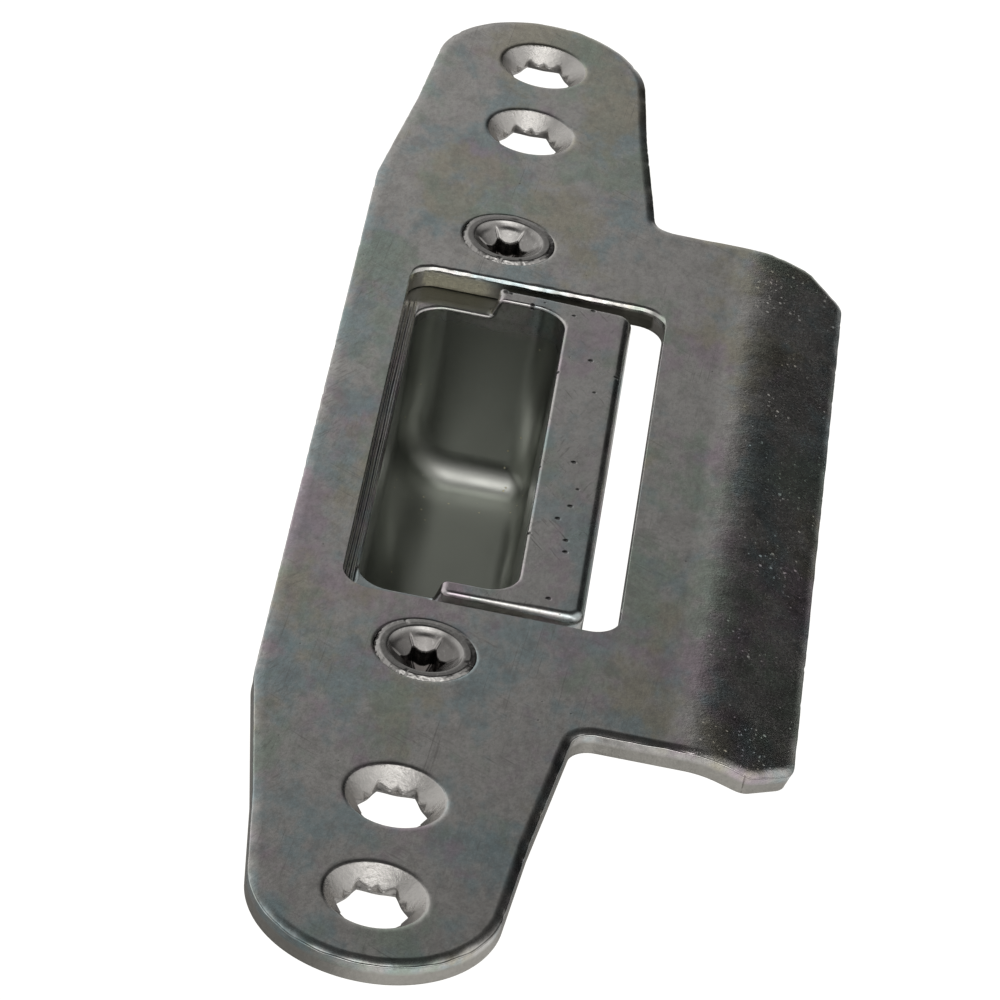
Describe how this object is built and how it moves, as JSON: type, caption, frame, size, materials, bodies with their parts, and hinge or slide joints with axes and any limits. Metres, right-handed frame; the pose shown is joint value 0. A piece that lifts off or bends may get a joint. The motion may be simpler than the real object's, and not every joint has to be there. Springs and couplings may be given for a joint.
{
  "type": "adjustable latch strike",
  "caption": "Steel strike plate with a back-curved lip, holding a sliding cast keeper with a closed bolt pocket that countersunk screws clamp behind the plate.",
  "frame": {"origin": "middle of the four wood screw holes, on the plate's back face that seats on the jamb", "axes": "+Z out of the front face, +Y along the plate, +X across it towards the curved lip"},
  "size_m": [0.055, 0.185, 0.0259],
  "materials": {
    "plate_steel": "zinc plated and passivated, faintly iridescent, worn",
    "cast_zinc": "zinc die casting, plated, satin outside and glossy in the pocket",
    "screw_steel": "dark bright-plated",
    "nut_steel": "zinc plated"
  },
  "bodies": {
    "plate": {"strike_plate": "plate_steel"},
    "insert": {"keeper_insert": "cast_zinc"},
    "upper_screw": {"clamp_screw_upper": "screw_steel"},
    "lower_screw": {"clamp_screw_lower": "screw_steel"},
    "upper_nut": {"clamp_nut_upper": "nut_steel"},
    "lower_nut": {"clamp_nut_lower": "nut_steel"}
  },
  "joints": [
    {"name": "insert_slide", "type": "slide", "parent": "plate", "child": "insert", "axis": [1, 0, 0], "range_m": [0, 0.0035]},
    {"name": "upper_screw_turn", "type": "hinge", "parent": "plate", "child": "upper_screw", "pos_m": [0, 0.041, 0], "axis": [0, 0, 1], "range_deg": [0, 542]},
    {"name": "lower_screw_turn", "type": "hinge", "parent": "plate", "child": "lower_screw", "pos_m": [0, -0.041, 0], "axis": [0, 0, 1], "range_deg": [0, 542]},
    {"name": "upper_nut_travel", "type": "slide", "parent": "plate", "child": "upper_nut", "axis": [0, 0, -1], "range_m": [0, 0.0012]},
    {"name": "lower_nut_travel", "type": "slide", "parent": "plate", "child": "lower_nut", "axis": [0, 0, -1], "range_m": [0, 0.0012]}
  ],
  "couplings": [
    {"joint": "upper_screw_turn", "follows": "upper_nut_travel", "rad_per_m": 7854},
    {"joint": "lower_screw_turn", "follows": "lower_nut_travel", "rad_per_m": 7854}
  ]
}
